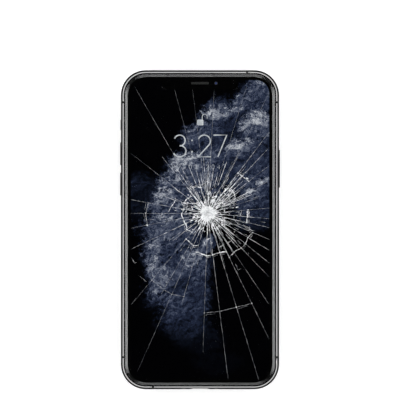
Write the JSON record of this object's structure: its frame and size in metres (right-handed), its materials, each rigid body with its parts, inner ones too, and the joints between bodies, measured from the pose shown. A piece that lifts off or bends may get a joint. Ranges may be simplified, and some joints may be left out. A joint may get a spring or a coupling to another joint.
{
  "type": "shattered screen phone",
  "caption": "Touch-screen phone with a shattered cover glass, steel band, side buttons, ring switch, card tray and rear cameras, built with its inner parts.",
  "frame": {"origin": "under the middle of the phone, level with the rear lens rings it rests on", "axes": "+X across the phone towards the power button, +Y towards the earpiece, +Z out of the screen"},
  "size_m": [0.0722, 0.144, 0.0093],
  "materials": {
    "cover_glass": "cracked, bright fracture faces",
    "adhesive": "clear and soft",
    "display": "glossy, lit behind the cracks",
    "black_ink": "black print under the glass",
    "black_plastic": "fine matt",
    "seal_rubber": "matt",
    "band_steel": "dark coated, polished, lightly scuffed",
    "insert_plastic": "flush with the band",
    "back_glass": "dark coating behind glass",
    "bump_metal": "satin",
    "ring_steel": "turned",
    "lens_glass": "coated",
    "lens_barrel": "matt black",
    "flash_diffuser": "ribbed",
    "led": "phosphor",
    "steel_sheet": "pressed sheet",
    "black_mesh": "woven",
    "circuit_board": "solder mask",
    "gold_plate": "plated",
    "copper": "lacquered wire",
    "flex": "polyimide film",
    "battery_wrap": "foil pouch",
    "white_tape": "stretch adhesive",
    "screw_steel": "small screws"
  },
  "bodies": {
    "phone": {"cover_glass": "cover_glass", "optical_adhesive": "adhesive", "display_panel": "display", "display_frame": "black_plastic", "display_shield": "steel_sheet", "display_seal": "seal_rubber", "display_flex": "flex", "earpiece_mesh": "black_mesh", "earpiece_speaker": "black_plastic", "front_camera": "lens_barrel", "infrared_camera": "lens_barrel", "dot_projector": "lens_barrel", "proximity_sensor": "lens_barrel", "sensor_bracket": "steel_sheet", "main_frame": "band_steel", "antenna_inserts": "insert_plastic", "back_glass": "back_glass", "camera_bump": "bump_metal", "lens_rings": "ring_steel", "lens_windows": "lens_glass", "wide_camera": "lens_barrel", "tele_camera": "lens_barrel", "flash_window": "flash_diffuser", "flash_led": "led", "rear_microphone": "gold_plate", "battery": "battery_wrap", "battery_strips": "white_tape", "battery_flex": "flex", "charging_coil": "copper", "coil_shield": "black_plastic", "logic_board": "circuit_board", "processor_shield": "steel_sheet", "radio_shield": "steel_sheet", "board_connectors": "gold_plate", "connector_cover": "steel_sheet", "board_screws": "screw_steel", "charge_port": "steel_sheet", "port_tongue": "black_plastic", "port_board": "circuit_board", "loudspeaker": "black_plastic", "vibration_motor": "steel_sheet", "bottom_microphone": "gold_plate", "sound_meshes": "black_mesh", "edge_screws": "screw_steel", "card_reader": "steel_sheet", "ring_switch_body": "black_plastic", "power_bracket": "steel_sheet", "volume_bracket": "steel_sheet", "power_dome": "steel_sheet", "volume_domes": "steel_sheet"},
    "power_button": {"power_button": "band_steel"},
    "volume_up_button": {"volume_up_button": "band_steel"},
    "volume_down_button": {"volume_down_button": "band_steel"},
    "ring_switch": {"ring_switch": "band_steel"},
    "card_tray": {"card_tray": "band_steel", "tray_seal": "seal_rubber"}
  },
  "joints": [
    {"name": "power_press", "type": "slide", "parent": "phone", "child": "power_button", "axis": [-1, 0, 0], "range_m": [0, 0.00025], "stiffness_N_per_m": 2000},
    {"name": "volume_up_press", "type": "slide", "parent": "phone", "child": "volume_up_button", "axis": [1, 0, 0], "range_m": [0, 0.00025], "stiffness_N_per_m": 2000},
    {"name": "volume_down_press", "type": "slide", "parent": "phone", "child": "volume_down_button", "axis": [1, 0, 0], "range_m": [0, 0.00025], "stiffness_N_per_m": 2000},
    {"name": "ring_switch_slide", "type": "slide", "parent": "phone", "child": "ring_switch", "axis": [0, 0, -1], "range_m": [0, 0.001]},
    {"name": "card_tray_slide", "type": "slide", "parent": "phone", "child": "card_tray", "axis": [1, 0, 0], "range_m": [0, 0.018]}
  ]
}
